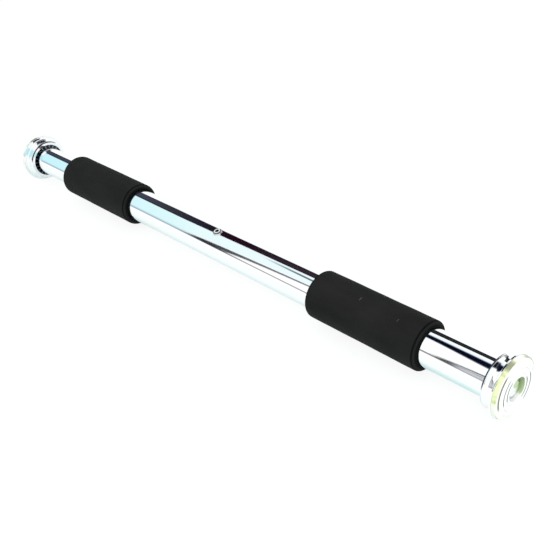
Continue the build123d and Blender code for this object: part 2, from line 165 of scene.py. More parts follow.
class Graph:
    """A material's or the world's node tree, with one method that makes any node."""

    def __init__(self, tree: bpy.types.NodeTree) -> None:
        """Empty a node tree and keep it.

        Args:
            tree: The tree that the nodes go into.
        """
        self.tree = tree
        tree.nodes.clear()

    def node(
        self,
        kind: str,
        sockets: dict[Union[str, int], object],
        output: Union[str, int] = 0,
        **settings: object,
    ) -> Value:
        """Add one node.

        Args:
            kind: The node's type, without the ShaderNode that it starts with.
            sockets: Each input's name or number with its value or link.
            output: The output to return.
            settings: Attributes to set first. stops gives a colour ramp its (position, colour) pairs.

        Returns:
            That output, or an empty value where the node has no output.
        """
        made = self.tree.nodes.new(f"ShaderNode{kind}")
        for name, setting in settings.items():
            if name == "stops":
                self._set_stops(made.color_ramp, setting)
            else:
                setattr(made, name, setting)
        for key, content in sockets.items():
            if isinstance(content, Value):
                self.tree.links.new(content.socket, made.inputs[key])
            else:
                made.inputs[key].default_value = content
        return Value(self, made.outputs[output] if len(made.outputs) else None)

    @staticmethod
    def _set_stops(ramp: bpy.types.ColorRamp, stops: list[tuple[float, Colour]]) -> None:
        """Give a colour ramp its stops, in order."""
        while len(ramp.elements) < len(stops):
            ramp.elements.new(1.0)
        for element, (position, colour) in zip(ramp.elements, stops):
            element.position = position
            element.color = (*colour, 1.0)

    def table(self, place: Value, points: Table) -> Value:
        """Return a value read off straight runs between points.

        Args:
            place: Where to read, between -1 and 1.
            points: Pairs of place and value from 0 to TABLE_TOP.

        Returns:
            The value there.
        """
        return self.shades(place, tuple((x, (y / TABLE_TOP,) * 3) for x, y in points)) * TABLE_TOP

    def shades(self, place: Value, shades: Shades) -> Value:
        """Return a colour read off shades along a place between -1 and 1."""
        stops = [((x + 1) / 2, colour) for x, colour in shades]
        return self.node("ValToRGB", {0: place * 0.5 + 0.5}, stops=stops)

    def paint(self, mask: Value, below: object, colour: object) -> Value:
        """Lay a colour over another so that a half mask looks half way to the eye, and not in light."""
        return self.blend(1 - (1 - mask).math("POWER", 2.2), below, colour)

    def part(self, axis: str, of: Value | None = None) -> Value:
        """Return the X, Y or Z part of a vector, or of the object's own coordinates."""
        return self.node("SeparateXYZ", {0: of or self.place()}, output=axis)

    def ray(self, kind: str) -> Value:
        """Return 1 for one kind of ray, such as Glossy, and 0 for the others."""
        return self.node("LightPath", {}, output=f"Is {kind} Ray")

    def angle(self, of: Value) -> Value:
        """Return a vector's angle round X in degrees, from +Y towards +Z."""
        return self.part("Z", of).math("ARCTAN2", self.part("Y", of)) * (180 / math.pi)

    def radius(self) -> Value:
        """Return the distance from the bar's axis in metres."""
        across, height = self.part("Y"), self.part("Z")
        return (across * across + height * height).math("SQRT")

    def facing(self, degrees: float) -> Value:
        """Return the cosine between a spot's direction from the bar's axis and an angle from +Y."""
        angle = math.radians(degrees)
        return (self.part("Y") * math.cos(angle) + self.part("Z") * math.sin(angle)) / self.radius()

    def blend(self, mask: Number, first: object, second: object) -> Value:
        """Return the first colour where the mask is 0 and the second where it is 1."""
        first, second = [c if isinstance(c, Value) else (*c, 1.0) for c in (first, second)]
        return self.node("Mix", {0: mask, 6: first, 7: second}, output=2, data_type="RGBA")

    def place(self, stretch: float = 1.0) -> Value:
        """Return the object's own coordinates in metres, with X multiplied by a stretch."""
        spot = self.node("TexCoord", {}, output="Object")
        return self.node("Mapping", {"Vector": spot, "Scale": (stretch, 1.0, 1.0)})

    def noise(self, scale: float, detail: float, stretch: float = 1.0) -> Value:
        """Return soft noise from 0 to 1, with scale features to the metre and stretch times that along X."""
        sockets = {"Vector": self.place(stretch), "Scale": scale, "Detail": detail}
        return self.node("TexNoise", sockets)

    def bump(self, height: Value, depth: float, below: Value | None = None) -> Value:
        """Return a normal bent by a height map of 0 to 1 that stands for a depth in metres."""
        sockets = {"Height": height, "Strength": 1.0, "Distance": depth}
        if below is not None:
            sockets["Normal"] = below
        return self.node("Bump", sockets)


# --- Finishes ---


@dataclass(frozen=True)
class Finish:
    """A surface finish. Each kind of finish says in sockets() what its Principled shader gets."""

    name: str
    made: ClassVar[dict[str, bpy.types.Material]] = {}

    def sockets(self, graph: Graph) -> Inputs:
        """Return the shader's inputs by name."""
        raise NotImplementedError

    def painted(self, graph: Graph, plain: Value) -> Value:
        """Return the finish's plain colour with its marks over it."""
        return plain

    def shader(self, graph: Graph) -> Value:
        """Return the finish's shader."""
        return graph.node("BsdfPrincipled", self.sockets(graph))

    def material(self) -> bpy.types.Material:
        """Return the finish's node material, made once."""
        if self.name not in self.made:
            material = bpy.data.materials.new(self.name)
            material.use_nodes = True
            graph = Graph(material.node_tree)
            graph.node("OutputMaterial", {"Surface": self.shader(graph)})
            self.made[self.name] = material
        return self.made[self.name]


@dataclass(frozen=True)
class Plating(Finish):
    """Bright plated metal: faint haze, hairline polishing marks and long shallow waves."""

    colour: Colour
    roughness: float
    haze: float
    waves: float  # depth in metres

    def sockets(self, graph: Graph) -> Inputs:
        """Return the shader's inputs by name."""
        cloud = graph.noise(60.0, 3.0)
        hairlines = graph.noise(220.0, 3.0, stretch=60.0)
        swell = graph.noise(90.0, 1.0, stretch=0.25)
        marks = graph.bump(hairlines, 0.25e-6)
        plain = graph.blend(cloud, self.colour, dimmed(self.colour, 0.97))
        return {
            "Base Color": self.painted(graph, plain),
            "Metallic": 1.0,
            "Roughness": cloud * self.haze + hairlines * (0.5 * self.haze) + self.roughness,
            "Normal": graph.bump(swell, self.waves, marks),
        }


@dataclass(frozen=True)
class SocketPlating(Plating):
    """Plated metal with painted shade inside a screw's socket and a painted shade line round its head's edge.

    Attributes:
        centre: Where the screw stands along the bar.
        socket_radius: Radius of the dark middle.
        top: Height of the head's face.
        rim_radius: Middle of the painted shade line round the head.
        rim_share: How dark that line is.
        face_dulling: How much less metallic the head's face is.
        socket_oxide_and_shade: Colour of the socket's walls and floor: dark oxide, with painted shade over
            it.
    """

    centre: float = 0.0
    socket_radius: float = 1.85 * MM
    top: float = 0.0
    rim_radius: float = 3.2 * MM
    rim_width: float = 0.5 * MM
    rim_share: float = 0.9
    face_dulling: float = 0.6
    socket_oxide_and_shade: Colour = (0.02, 0.02, 0.024)

    def sockets(self, graph: Graph) -> Inputs:
        """Return the shader's inputs by name."""
        found = super().sockets(graph)
        along, across, height = graph.part("X") - self.centre, graph.part("Y"), graph.part("Z")
        distance = (along * along + across * across).math("SQRT")
        sunk = 1 - distance.above(self.socket_radius, 0.05 * MM)
        sunk = sunk * (1 - height.above(self.top - 0.05 * MM, 0.03 * MM))
        half = self.rim_width / 2
        rim = distance.between(self.rim_radius - half, self.rim_radius + half, 0.1 * MM)
        face = distance.between(self.socket_radius, self.rim_radius - half, 0.1 * MM)
        # Painted shade: dark in the socket and along a thin line round the head.
        dark = sunk.math("MAXIMUM", rim * self.rim_share)
        found["Base Color"] = graph.blend(dark, found["Base Color"], self.socket_oxide_and_shade)
        found["Metallic"] = 1 - face * self.face_dulling
        return found


@dataclass(frozen=True)
class ReflectionLinePlating(Plating):
    """Bright plating with a painted dark reflection: a dark line where it curls in at each cup's mouth.

    Attributes:
        reflection_lines: Where the middle of each painted reflection line lies along the bar, in metres.
        reflection_line_radius: Radius outside which a line shows.
        top_angle: Middle of a line's upper part, in degrees from +Y.
        under_angle: Middle of its fainter lower part.
    """

    reflection_lines: tuple[float, float] = (16.2 * MM, 611.8 * MM)
    reflection_line_width: float = 1.3 * MM
    dark_reflection_colour: Colour = (0.03, 0.03, 0.04)
    reflection_line_radius: float = 20.3 * MM
    top_angle: float = 85.0
    under_angle: float = -72.0

    def painted(self, graph: Graph, plain: Value) -> Value:
        """Return the plain colour with the painted dark reflection lines over it."""
        along, half = graph.part("X"), self.reflection_line_width / 2
        near, far = (along.between(line_x - half, line_x + half, 0.15 * MM) for line_x in self.reflection_lines)
        top = graph.facing(self.top_angle).above(0.55, 0.15)
        under = graph.facing(self.under_angle).above(0.8, 0.15) * 0.5
        outside = graph.radius().above(self.reflection_line_radius, 0.05 * MM)
        # Painted reflection: dark lines on the upper curl of each mouth, fainter underneath.
        return graph.blend((near + far) * ((top + under) * outside), plain, self.dark_reflection_colour)


@dataclass(frozen=True)
class LitPlating(Plating):
    """Plating at the bottom of a pad's hole, tinted on one side by the light that comes through the pad.

    Attributes:
        tint_angle: The tinted side, in degrees from +Y.
    """

    tint: Colour = (0.55, 0.66, 0.42)
    tint_angle: float = 150.0

    def painted(self, graph: Graph, plain: Value) -> Value:
        """Return the plain colour with the tint over it."""
        return graph.blend(graph.facing(self.tint_angle).above(0.25, 0.8), plain, self.tint)


@dataclass(frozen=True)
class TurnedMetal(Finish):
    """Metal left as the lathe cut it: fine rings round the bar's axis."""

    colour: Colour
    roughness: float
    ring_pitch: float

    def sockets(self, graph: Graph) -> Inputs:
        """Return the shader's inputs by name."""
        along = graph.part("X")
        rings = (along * (2 * math.pi / self.ring_pitch)).math("SINE") * 0.5 + 0.5
        stain = graph.noise(140.0, 4.0)
        return {
            "Base Color": graph.blend(stain, self.colour, dimmed(self.colour, 0.82)),
            "Metallic": 1.0,
            "Roughness": stain * 0.12 + rings * 0.05 + self.roughness,
            "Normal": graph.bump(rings, 4e-6),
        }


@dataclass(frozen=True)
class Nick:
    """A short light scratch that runs round a grip.

    Attributes:
        x: Its place along the bar in metres.
        angle: Its middle round the bar, in degrees from +Y.
        length: Half the angle that it covers.
        lean: How far it leans along the bar for each degree, in metres.
    """

    x: float
    angle: float
    length: float
    lean: float = 0.05 * MM
    half_width: float = 0.55 * MM


@dataclass(frozen=True)
class Foam(Finish):
    """Closed-cell foam rubber with a fine moulded skin, painted shade on its cut ends and shoulders, and a
    few nicks.

    Attributes:
        worn_colour: Colour where hands have polished the skin.
        cell: Size of the cells in metres.
        cuts: Places of the cut ends along the bar.
        face_depth: How far from an end the painted shade on its face reaches.
        shade: Where the shoulder's band of painted shade starts and ends, counted from the nearest cut end.
    """

    colour: Colour
    worn_colour: Colour
    cut_shade_colour: Colour
    nick_colour: Colour
    cell: float
    cuts: tuple[float, ...]
    nicks: tuple[Nick, ...]
    face_depth: float = 0.55 * MM
    shade: tuple[float, float] = (1.65 * MM, 3.15 * MM)

    def sockets(self, graph: Graph) -> Inputs:
        """Return the shader's inputs by name."""
        sockets = {"Vector": graph.place(), "Scale": 1.0 / self.cell}
        cells = graph.node("TexVoronoi", sockets, feature="F1")
        grain = graph.noise(2.2 / self.cell, 4.0)
        cloud = graph.noise(70.0, 4.0, stretch=0.4)
        pores = graph.noise(0.9 / self.cell, 1.0).above(0.74, 0.06)
        worn = graph.blend(cloud.above(0.5, 0.5), self.colour, self.worn_colour)
        pitted = graph.blend(grain.above(0.62, 0.2) * 0.3, worn, dimmed(self.colour, 0.5))
        pitted = graph.blend(pores * 0.7, pitted, dimmed(self.colour, 0.3))
        # Painted shade on the cut ends and shoulders.
        pitted = graph.blend(self.cut(graph), pitted, self.cut_shade_colour)
        scratched = self.scratched(graph)
        return {
            "Base Color": graph.blend(scratched, pitted, self.nick_colour),
            "Roughness": 0.98 - cloud * 0.14 - scratched * 0.1,
            "Specular IOR Level": 0.16,
            "Normal": graph.bump(grain, 0.05 * MM, graph.bump(cells, 0.03 * MM)),
        }

    def cut(self, graph: Graph) -> Value:
        """Return 1 where shade is painted, on the lips' cut faces and on the shoulders, and 0 elsewhere."""
        along = graph.part("X")
        first, *others = ((along - x).math("ABSOLUTE") for x in self.cuts)
        for other in others:
            first = first.math("MINIMUM", other)
        face = 1 - first.above(self.face_depth, 0.3 * MM)
        low, high = self.shade
        return face.math("MAXIMUM", first.between(low, high, 0.3 * MM))

    def scratched(self, graph: Graph) -> Value:
        """Return 1 on the nicks and 0 off them. Each is a thin line across the bar, ragged by noise."""
        along = graph.part("X")
        angle = graph.angle(graph.place())
        ragged = graph.noise(600.0, 3.0)
        total = along * 0.0
        for nick in self.nicks:
            lean = (angle - nick.angle) * nick.lean
            line = 1 - ((along - nick.x + lean).math("ABSOLUTE") / nick.half_width).math("MINIMUM", 1.0)
            run = 1 - ((angle - nick.angle).math("ABSOLUTE") / nick.length).math("MINIMUM", 1.0)
            total = total.math("MAXIMUM", line * (run * 3.0).math("MINIMUM", 1.0))
        return (total * ragged.above(0.42, 0.3)).math("MINIMUM", 0.8)


@dataclass(frozen=True)
class ClearPvc(Finish):
    """Soft clear moulded plastic. It looks almost white face on. Its tint at the edges and its darker hole,
    lip and grooves are painted light and shade, each laid on the side that the light picks out.

    Attributes:
        face: Colour of the middle.
        side: Colour painted on the lit side of the outer wall, where light through the wall shows its tint.
        olive_patch_and_shade: Colour of random patches in the outer wall, and of the painted shade
            in its streak and at the pad's edge.
        radii: Radii at which rim, side and hole start, in metres.
        near_half: Place along the bar beyond which the wall keeps little of its painted tint.
        tint_light_angle: Side of the wall with the most painted tint, in degrees from +Y.
        olive_shade_angle: Side of the wall with the painted shade streak.
        edge_shade_angle: Side of the pad's edge with the most painted shade.
        hole_shade_angle: Side of the hole with the most painted shade.
        lip_shade_angle: Side of the hole's lip with the most painted shade.
        groove_shade_angle: Sides where the grooves carry painted shade.
        groove_radius: Radius of the innermost groove.
        groove_pitch: Distance between grooves.
        clarity: How much light goes through it.
    """

    face: Colour
    rim: Colour
    side: Colour
    hole: Colour
    groove: Colour
    olive_patch_and_shade: Colour
    tint_light_angle: float = 58.0
    olive_shade_angle: float = 88.0
    edge_shade_angle: float = 160.0
    hole_shade_angle: float = 195.0
    lip_shade_angle: float = 125.0
    groove_shade_angle: float = 33.0
    radii: Triple = (21.2 * MM, 24.0 * MM, 9.75 * MM)
    near_half: float = 0.3
    groove_radius: float = 12.4 * MM
    groove_pitch: float = 4.45 * MM
    roughness: float = 0.04
    clarity: float = 0.15

    def sockets(self, graph: Graph) -> Inputs:
        """Return the shader's inputs by name."""
        flow = graph.noise(130.0, 3.0)
        skin = graph.noise(900.0, 2.0)
        radius = graph.radius()
        rim, side, hole = self.radii
        beat = ((radius - self.groove_radius) * (2 * math.pi / self.groove_pitch)).math("COSINE")
        # Painted shade: the grooves darken only on the sides picked by groove_shade_angle.
        shaded = graph.facing(self.groove_shade_angle).math("ABSOLUTE").above(0.8, 0.12)
        grooved = beat.above(0.7, 0.3) * radius.between(hole + 1.5 * MM, rim + 0.6 * MM, 0.4 * MM) * shaded
        colour = graph.blend(radius.above(rim, 1.2 * MM), self.face, self.rim)
        patch = graph.noise(160.0, 1.0).above(0.55, 0.1) * 0.45
        near = 1 - graph.part("X").above(self.near_half, 0.1) * 0.8
        # Painted light: the wall's tint sits on the side picked by tint_light_angle, mostly on the near pad.
        wall = graph.blend(graph.facing(self.tint_light_angle).above(0.74, 0.12) * near, self.rim, self.side)
        # Painted shade streak at olive_shade_angle, with random patches of the same colour.
        streak = graph.facing(self.olive_shade_angle).above(0.98, 0.03).math("MAXIMUM", patch)
        colour = graph.blend(radius.above(side, 0.4 * MM), colour, graph.blend(streak, wall, self.olive_patch_and_shade))
        # Painted shade along one side of the pad's edge.
        edge = graph.facing(self.edge_shade_angle).above(0.86, 0.1) * radius.above(side - 0.5 * MM, 0.3 * MM)
        colour = graph.blend(edge * 0.8, colour, self.olive_patch_and_shade)
        # Painted shade in the hole, on the side picked by hole_shade_angle.
        depth = graph.facing(self.hole_shade_angle).above(0.62, 0.25)
        colour = graph.blend((1 - radius.above(hole, 0.2 * MM)) * depth, colour, self.hole)
        # Painted shade on one side of the hole's lip.
        lip = graph.facing(self.lip_shade_angle).above(0.7, 0.2) * 0.8
        lip = lip * radius.between(hole - 0.3 * MM, hole + 0.3 * MM, 0.2 * MM)
        colour = graph.blend(lip, colour, self.groove)
        colour = graph.blend(grooved, colour, self.groove)
        return {
            "Base Color": colour,
            "Roughness": flow * 0.06 + self.roughness,
            "IOR": 1.53,
            "Transmission Weight": self.clarity,
            "Normal": graph.bump(skin, 6e-6, graph.bump(flow, 40e-6)),
        }


@dataclass(frozen=True)
class MouldedPlastic(Finish):
    """Hard moulded plastic with a fine spark-eroded texture."""

    colour: Colour
    roughness: float

    def sockets(self, graph: Graph) -> Inputs:
        """Return the shader's inputs by name."""
        grain = graph.noise(4200.0, 3.0)
        cloud = graph.noise(90.0, 2.0)
        plain = graph.blend(cloud, self.colour, dimmed(self.colour, 0.85))
        return {
            "Base Color": self.painted(graph, plain),
            "Roughness": cloud * 0.1 + self.roughness,
            "Normal": graph.bump(grain, 12e-6),
        }


@dataclass(frozen=True)
class ShadedPlastic(MouldedPlastic):
    """Moulded plastic that is paler on the side that catches the light.

    Attributes:
        pale: Colour of the lit side.
        dark_angle: Middle of the dark side, in degrees from +Y.
    """

    pale: Colour = (0.22, 0.26, 0.32)
    dark_angle: float = 15.0

    def painted(self, graph: Graph, plain: Value) -> Value:
        """Return the pale colour with the plain one over its dark side."""
        patch = graph.noise(420.0, 2.0) - 0.5
        return graph.blend((graph.facing(self.dark_angle) + patch).above(0.45, 0.35), self.pale, plain)


CHROME = Plating("bright_chrome", (0.955, 0.96, 0.965), roughness=0.03, haze=0.03, waves=3e-6)
CUP_PLATING = ReflectionLinePlating("cup_chrome", CHROME.colour, CHROME.roughness, CHROME.haze, CHROME.waves)
SCREW_PLATING = Plating("plated_fastener", (0.86, 0.87, 0.89), roughness=0.26, haze=0.06, waves=1e-6)
RIVET_PLATING = LitPlating("bright_rivet", (0.95, 0.955, 0.955), roughness=0.16, haze=0.06, waves=1e-6)
LOCK_PLATING = SocketPlating(
    "lock_screw_plating",
    (0.90, 0.90, 0.92),
    roughness=0.24,
    haze=0.06,
    waves=1e-6,
    centre=311.2 * MM,
    top=17.65 * MM,
)
STEEL = TurnedMetal("turned_steel", colour=(0.60, 0.61, 0.62), roughness=0.24, ring_pitch=0.25 * MM)
ALUMINIUM = TurnedMetal("turned_aluminium", colour=(0.80, 0.81, 0.82), roughness=0.28, ring_pitch=0.3 * MM)
BRASS = TurnedMetal("turned_brass", colour=(0.83, 0.66, 0.36), roughness=0.22, ring_pitch=0.25 * MM)
FOAM = Foam(
    "grip_foam",
    colour=(0.0085, 0.0085, 0.0087),
    worn_colour=(0.0135, 0.0135, 0.0137),
    cut_shade_colour=(0.0014, 0.0014, 0.0016),
    nick_colour=(0.09, 0.09, 0.09),
    cell=0.45 * MM,
    cuts=(74.5 * MM, 187.5 * MM, 436.95 * MM, 549.95 * MM),
    nicks=(Nick(0.1375, 86.5, 6.0), Nick(0.0985, 78.0, 4.0)),
)
PVC = ClearPvc(
    "soft_clear_pvc",
    face=(1.0, 1.0, 0.995),
    rim=shown(254, 255, 244),
    # side is a painted tint of light through the wall; hole and groove are painted shade;
    # olive_patch_and_shade is painted shade with random patches.
    side=shown(236, 250, 190),
    hole=shown(184, 206, 158),
    groove=shown(112, 118, 104),
    olive_patch_and_shade=shown(152, 159, 128),
)
NYLON = ShadedPlastic("dark_nylon", colour=(0.022, 0.026, 0.05), roughness=0.3)
ACETAL = MouldedPlastic("white_acetal", colour=(0.80, 0.80, 0.78), roughness=0.35)

CAD_FINISHES: dict[str, Finish] = {
    "chrome": CHROME,
    "foam": FOAM,
    "clear_pvc": PVC,
    "nylon": NYLON,
    "acetal": ACETAL,
    "plated_screw": SCREW_PLATING,
    "steel": STEEL,
    "plug_metal": ALUMINIUM,
    "nut_brass": BRASS,
}
NODE_FINISHES: dict[str, Finish] = {
    "lock_screw": LOCK_PLATING,
    "fixed_end_pivot_rivet": RIVET_PLATING,
    "sliding_end_pivot_rivet": RIVET_PLATING,
    "fixed_end_head_washer": RIVET_PLATING,
    "sliding_end_head_washer": RIVET_PLATING,
}


# --- Surfaces ---


@dataclass(frozen=True)
class Corner:
    """A corner of a profile, in metres from a piece's own start and from the bar's axis.

    Attributes:
        x: Distance along the axis.
        r: Distance from the axis.
        rounding: Radius of the corner's arc, or 0 for a sharp corner.
    """

    x: float
    r: float
    rounding: float = 0.0


def arc_profile(corners: list[Corner], steps: int) -> np.ndarray:
    """Join corners in a closed loop of straight runs, and round each by an arc tangent to its two runs.

    An arc of radius R at a corner whose runs turn by an angle t starts R tan(t/2) before the corner,
    and each of its points lies on the quadratic through both tangent points with the corner as its
    control point, which is within a hair of the circle for such small arcs.

    Args:
        corners: The corners in order.
        steps: Points on each arc.

    Returns:
        An (n, 2) array of x and r.
    """
    points = np.array([(c.x, c.r) for c in corners])
    profile = []
    for n, corner in enumerate(corners):
        here = points[n]
        if corner.rounding <= 0:
            profile.append(here[None, :])
            continue
        back = points[n - 1] - here
        ahead = points[(n + 1) % len(corners)] - here
        back /= np.linalg.norm(back)
        ahead /= np.linalg.norm(ahead)
        half_inside = math.acos(np.clip(back @ ahead, -1, 1)) / 2
        reach = corner.rounding / math.tan(half_inside)
        t = np.linspace(0, 1, steps)[:, None]
        first, last = here + back * reach, here + ahead * reach
        profile.append((1 - t) ** 2 * first + 2 * t * (1 - t) * here + t**2 * last)
    return np.concatenate(profile)


def linked(name: str, data: bpy.types.ID) -> bpy.types.Object:
    """Make an object of a mesh, a camera or a light, and link it to the scene."""
    made = bpy.data.objects.new(name, data)
    bpy.context.scene.collection.objects.link(made)
    return made


def mesh_object(name: str, rings: np.ndarray, smooth_angle: float) -> bpy.types.Object:
    """Make a closed ring from a grid of points: rings[row, column] with every row a loop round the axis.

    Args:
        name: The object's name.
        rings: A (rows, columns, 3) array in metres.
        smooth_angle: Edges sharper than this many degrees stay crisp.

    Returns:
        The object, linked to the scene, with its normals outwards.
    """
    rows, columns, _ = rings.shape
    upper = np.arange(rows * columns).reshape(rows, columns)
    lower = np.roll(upper, -1, axis=0)
    quads = np.stack([upper, np.roll(upper, -1, 1), np.roll(lower, -1, 1), lower], axis=-1).reshape(-1, 4)
    mesh = bpy.data.meshes.new(name)
    mesh.from_pydata(rings.reshape(-1, 3).tolist(), [], quads.tolist())
    tidy_mesh(mesh, smooth_angle)
    return linked(name, mesh)


def tidy_mesh(mesh: bpy.types.Mesh, smooth_angle: float) -> None:
    """Merge points closer than MERGED, turn all faces outwards and mark which edges are crisp.

    Args:
        mesh: The mesh to tidy.
        smooth_angle: Edges sharper than this many degrees stay crisp.
    """
    work = bmesh.new()
    work.from_mesh(mesh)
    bmesh.ops.remove_doubles(work, verts=work.verts, dist=MERGED)
    bmesh.ops.dissolve_degenerate(work, edges=work.edges, dist=MERGED / 10)
    bmesh.ops.recalc_face_normals(work, faces=work.faces)
    limit = math.radians(smooth_angle)
    for face in work.faces:
        face.smooth = True
    for edge in work.edges:
        edge.smooth = edge.calc_face_angle(0.0) < limit
    work.to_mesh(mesh)
    work.free()


def turn(profile: np.ndarray, columns: int) -> np.ndarray:
    """Turn a profile about the X axis.

    Args:
        profile: An (n, 2) array of x and r.
        columns: Points round the axis.

    Returns:
        An (n, columns, 3) array whose point at angle a is (x, r cos a, r sin a).
    """
    angle = np.linspace(0, 2 * math.pi, columns, endpoint=False)
    x = np.repeat(profile[:, :1], columns, axis=1)
    return np.stack([x, profile[:, 1:] * np.cos(angle), profile[:, 1:] * np.sin(angle)], axis=-1)


# --- Pieces made here ---


class BarEnd(Enum):
    """An end of the bar, where a pad and a cup are mounted."""

    FIXED = "its pieces face the start of the bar"
    SLIDING = "its pieces face the far end of the bar"

    def placed(self, rings: np.ndarray, low: Vector, high: Vector) -> np.ndarray:
        """Move rings whose x is counted inwards from a piece's face to the box between two corners."""
        rings[..., 0] = low[0] + rings[..., 0] if self is BarEnd.FIXED else high[0] - rings[..., 0]
        return rings


@dataclass(frozen=True)
class FoamGrip:
    """A foam sleeve on the outer tube, with rounded shoulders and a narrow lip at each end.

    Attributes:
        swell: How unevenly the foam is cut and stretched.
        waves: Each wave's share, turn for each metre, turn for each turn round the bar, and start.
    """

    node: str
    body: str = "outer_body"
    bore_gap: float = 0.02 * MM
    tube_radius: float = 16.0 * MM
    lip_width: float = 2.0 * MM
    lip_proud: float = 1.0 * MM
    lip_round: float = 0.7 * MM
    shoulder_round: float = 2.5 * MM
    swell: float = 0.09 * MM
    waves: tuple[tuple[float, float, float, float], ...] = (
        (1.0, 95.0, 2.0, 0.0),
        (0.7, 213.0, -1.0, 1.3),
        (0.5, 40.0, 3.0, 0.0),
    )
    columns: int = 160
    rows: int = 120

    def profile(self, start: float, end: float, radius: float) -> np.ndarray:
        """Return the closed profile of a sleeve from start to end, with its long outside split into rows."""
        bore = self.tube_radius + self.bore_gap
        lip = bore + self.lip_width
        step = self.lip_proud
        first = [
            Corner(start, bore, self.lip_round),
            Corner(start, lip, self.lip_round),
            Corner(start + step, lip),
            Corner(start + step, radius, self.shoulder_round),
        ]
        last = [Corner(start + end - c.x, c.r, c.rounding) for c in reversed(first)]
        loop = arc_profile(first + last, steps=9)
        far = np.argmax(np.diff(loop[:, 0]))
        x = np.linspace(loop[far, 0], loop[far + 1, 0], self.rows + 2)[1:-1]
        outside = np.stack([x, np.full_like(x, radius)], axis=-1)
        return np.insert(loop, far + 1, outside, axis=0)

    def build(self) -> bpy.types.Object:
        """Make the sleeve. Its radius swells and shrinks by slow sine waves along and round it.

        Returns:
            The sleeve, which stands for its CAD node.
        """
        low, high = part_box(self.node)
        x, y, z = np.moveaxis(turn(self.profile(low[0], high[0], high[2]), self.columns), -1, 0)
        radius, angle = np.hypot(y, z), np.arctan2(z, y)
        outer = np.clip((radius - self.tube_radius) / (high[2] - self.tube_radius), 0, 1)
        peak = sum(share for share, *_ in self.waves)
        wave = sum(share * np.sin(x * pace + turns * angle + lead) for share, pace, turns, lead in self.waves)
        factor = 1 + outer * self.swell * (wave / peak - 1) / radius
        rings = np.stack([x, y * factor, z * factor], axis=-1)
        sleeve = mesh_object(f"{self.node}_foam", rings, smooth_angle=60.0)
        sleeve.data.materials.append(FOAM.material())
        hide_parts(self.node)
        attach(sleeve, self.body)
        return sleeve


@dataclass(frozen=True)
class JambPad:
    """A clear pad: ridged middle round a through hole, a slope down to a lower rim, and a tapered edge."""

    node: str
    body: str
    end: BarEnd
    thickness: float = 5.0 * MM
    radius: float = 25.0 * MM
    hole: float = 9.4 * MM
    step: float = 1.6 * MM
    rim_width: float = 3.5 * MM
    slope_width: float = 2.3 * MM
    taper: float = 0.6 * MM
    groove_inset: float = 2.35 * MM
    groove_pitch: float = 4.45 * MM
    groove_width: float = 1.0 * MM
    groove_depth: float = 0.8 * MM
    groove_count: int = 2
    columns: int = 192

    def profile(self) -> np.ndarray:
        """Return the pad's closed profile, with x counted from its face."""
        rim = self.radius - self.rim_width
        ridges = rim - self.slope_width
        corners = [
            Corner(self.thickness, self.hole, 0.3 * MM),
            Corner(self.thickness, self.radius, 0.3 * MM),
            Corner(self.step, self.radius - self.taper, 1.0 * MM),
            Corner(self.step, rim, 0.6 * MM),
            Corner(0.0, ridges, 0.25 * MM),
        ]
        for n in range(self.groove_count):
            middle = ridges - self.groove_inset - n * self.groove_pitch
            corners += [
                Corner(0.0, middle + self.groove_width / 2, 0.1 * MM),
                Corner(self.groove_depth, middle, 0.12 * MM),
                Corner(0.0, middle - self.groove_width / 2, 0.1 * MM),
            ]
        corners.append(Corner(0.0, self.hole, 0.5 * MM))
        return arc_profile(corners, steps=5)

    def build(self) -> bpy.types.Object:
        """Make the pad at its end of the bar.

        Returns:
            The pad, which stands for its CAD node.
        """
        low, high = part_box(self.node)
        rings = self.end.placed(turn(self.profile(), self.columns), low, high)
        pad = mesh_object(f"{self.node}_pvc", rings, smooth_angle=35.0)
        pad.data.materials.append(PVC.material())
        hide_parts(self.node)
        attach(pad, self.body)
        return pad


@dataclass(frozen=True)
class FlaredCup:
    """A chromed cup: bored plate, flange, waisted neck, and a round bead that curls in at the mouth.

    Places along the cup are counted from its flange's face, and its outside is swept finely so that
    the chrome mirrors cleanly.
    """

    node: str
    body: str
    end: BarEnd
    length: float = 11.8 * MM
    plate: float = 2.0 * MM
    plate_bore: float = 5.05 * MM
    bore: float = 19.3 * MM
    curl: float = 1.4 * MM
    curl_edge: float = 17.4 * MM
    curl_round: float = 0.6 * MM
    mouth_edge: float = 20.41 * MM
    mouth_round: float = 0.12 * MM
    bead_back: float = 1.69 * MM
    bead: float = 21.22 * MM
    bead_round: float = 2.5 * MM
    waist_back: float = 4.66 * MM
    waist: float = 20.75 * MM
    waist_round: float = 18.0 * MM
    flange: float = 1.6 * MM
    flange_edge: float = 25.2 * MM
    flange_round: float = 0.3 * MM
    flare_round: float = 2.2 * MM
    columns: int = 288

    def profile(self) -> np.ndarray:
        """Return the cup's closed profile, with x counted from the flange's face towards the mouth."""
        mouth = self.length
        corners = [
            Corner(0.0, self.plate_bore),
            Corner(self.plate, self.plate_bore),
            Corner(self.plate, self.bore),
            Corner(mouth - self.curl, self.bore),
            Corner(mouth - self.curl, self.curl_edge, self.curl_round),
            Corner(mouth, self.curl_edge, self.curl_round),
            Corner(mouth, self.mouth_edge, self.mouth_round),
            Corner(mouth - self.bead_back, self.bead, self.bead_round),
            Corner(mouth - self.waist_back, self.waist, self.waist_round),
            Corner(self.flange, self.waist, self.flare_round),
            Corner(self.flange, self.flange_edge, self.flange_round),
            Corner(0.0, self.flange_edge, self.flange_round),
        ]
        return arc_profile(corners, steps=12)

    def build(self) -> bpy.types.Object:
        """Make the cup at its end of the bar.

        Returns:
            The cup, which stands for its CAD node.
        """
        low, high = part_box(self.node)
        rings = self.end.placed(turn(self.profile(), self.columns), low, high)
        cup = mesh_object(f"{self.node}_shell", rings, smooth_angle=50.0)
        cup.data.materials.append(CUP_PLATING.material())
        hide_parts(self.node)
        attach(cup, self.body)
        return cup


# --- Studio ---


